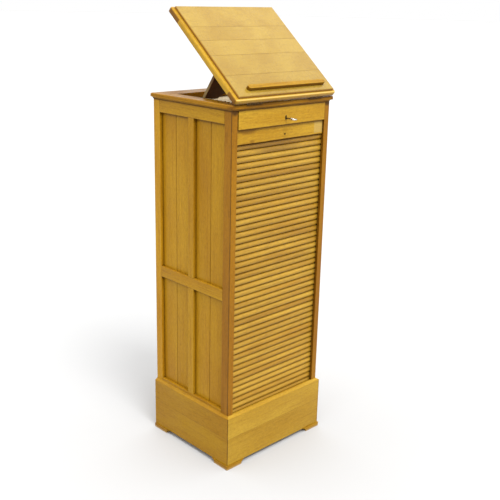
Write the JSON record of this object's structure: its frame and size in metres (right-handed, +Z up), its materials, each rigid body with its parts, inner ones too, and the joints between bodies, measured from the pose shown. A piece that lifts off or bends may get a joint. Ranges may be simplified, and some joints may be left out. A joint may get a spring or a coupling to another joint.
{
  "type": "tambour filing cabinet",
  "caption": "Tall oak cabinet with a vertical tambour front, panelled sides, plinth base and an adjustable reading slope on top.",
  "frame": {"origin": "on the floor, under the middle of the whole object's box", "axes": "+Z up, the tambour front faces -Y, +X to the right of someone facing the front"},
  "size_m": [0.439, 0.415, 1.4288],
  "materials": {
    "oak_front": "golden varnished oak, semi-gloss",
    "oak_side": "golden varnished oak, semi-gloss",
    "oak_slope": "pale golden oak, semi-gloss",
    "oak_dark": "dark stained oak, satin",
    "canvas_backing": "coarse woven canvas",
    "brass_fittings": "aged brass",
    "steel_fittings": "aged steel"
  },
  "bodies": {
    "case": {"back_panels": "oak_dark", "back_rails": "oak_side", "cupboard_floor": "oak_dark", "false_back": "oak_dark", "foot_blocks": "oak_front", "keyhole_eyelet": "brass_fittings", "left_back_stile": "oak_side", "left_bottom_rail": "oak_side", "left_front_stile": "oak_side", "left_lower_panels": "oak_side", "left_mid_rail": "oak_side", "left_muntins": "oak_side", "left_top_rail": "oak_side", "left_upper_panels": "oak_side", "lock_case": "steel_fittings", "lock_rail": "oak_front", "plinth_front": "oak_front", "plinth_left": "oak_front", "plinth_right": "oak_front", "rack_left": "oak_dark", "rack_right": "oak_dark", "right_back_stile": "oak_side", "right_bottom_rail": "oak_side", "right_front_stile": "oak_side", "right_lower_panels": "oak_side", "right_mid_rail": "oak_side", "right_muntins": "oak_side", "right_top_rail": "oak_side", "right_upper_panels": "oak_side", "shelf_1": "oak_dark", "shelf_2": "oak_dark", "shelf_3": "oak_dark", "shelf_4": "oak_dark", "shelf_cleats": "oak_dark", "sill_rail": "oak_front", "slope_hinge_fixed_leaves": "brass_fittings", "slope_hinge_pins": "steel_fittings", "top_back": "oak_front", "top_front": "oak_front", "top_left": "oak_front", "top_right": "oak_front", "well_floor": "oak_dark", "well_lining": "oak_dark"},
    "tambour": {"lead_rail": "oak_front", "tambour_slats": "oak_front", "tambour_canvas": "canvas_backing"},
    "slope": {"slope_front_rail": "oak_slope", "slope_back_rail": "oak_slope", "slope_left_stile": "oak_slope", "slope_right_stile": "oak_slope", "slope_boards": "oak_slope", "book_ledge": "oak_slope", "slope_hinge_moving_leaves": "brass_fittings", "prop_hinge_slope_leaves": "brass_fittings", "prop_hinge_pins": "steel_fittings"},
    "prop": {"prop_board": "oak_dark", "prop_hinge_leaves": "brass_fittings"},
    "key": {"key": "steel_fittings"},
    "bolt": {"lock_bolt": "steel_fittings"}
  },
  "joints": [
    {"name": "tambour_slide", "type": "slide", "parent": "case", "child": "tambour", "axis": [0, 0, -1], "range_m": [0, 0.855], "deforming": ["tambour_slats", "tambour_canvas"]},
    {"name": "slope_tilt", "type": "hinge", "parent": "case", "child": "slope", "pos_m": [0, -0.1754, 1.1686], "axis": [1, 0, 0], "range_deg": [-40, 0]},
    {"name": "prop_fold", "type": "hinge", "parent": "slope", "child": "prop", "pos_m": [0, -0.05078, 1.26938], "axis": [1, 0, 0], "range_deg": [0, 95]},
    {"name": "key_turn", "type": "hinge", "parent": "case", "child": "key", "pos_m": [0.011, -0.165, 1.114], "axis": [0, 1, 0], "range_deg": [0, 90]},
    {"name": "bolt_throw", "type": "slide", "parent": "case", "child": "bolt", "axis": [0, 0, -1], "range_m": [0, 0.009]}
  ],
  "couplings": [
    {"joint": "prop_fold", "follows": "slope_tilt", "ratio": -2.375},
    {"joint": "bolt_throw", "follows": "key_turn", "m_per_rad": 0.0057295}
  ]
}
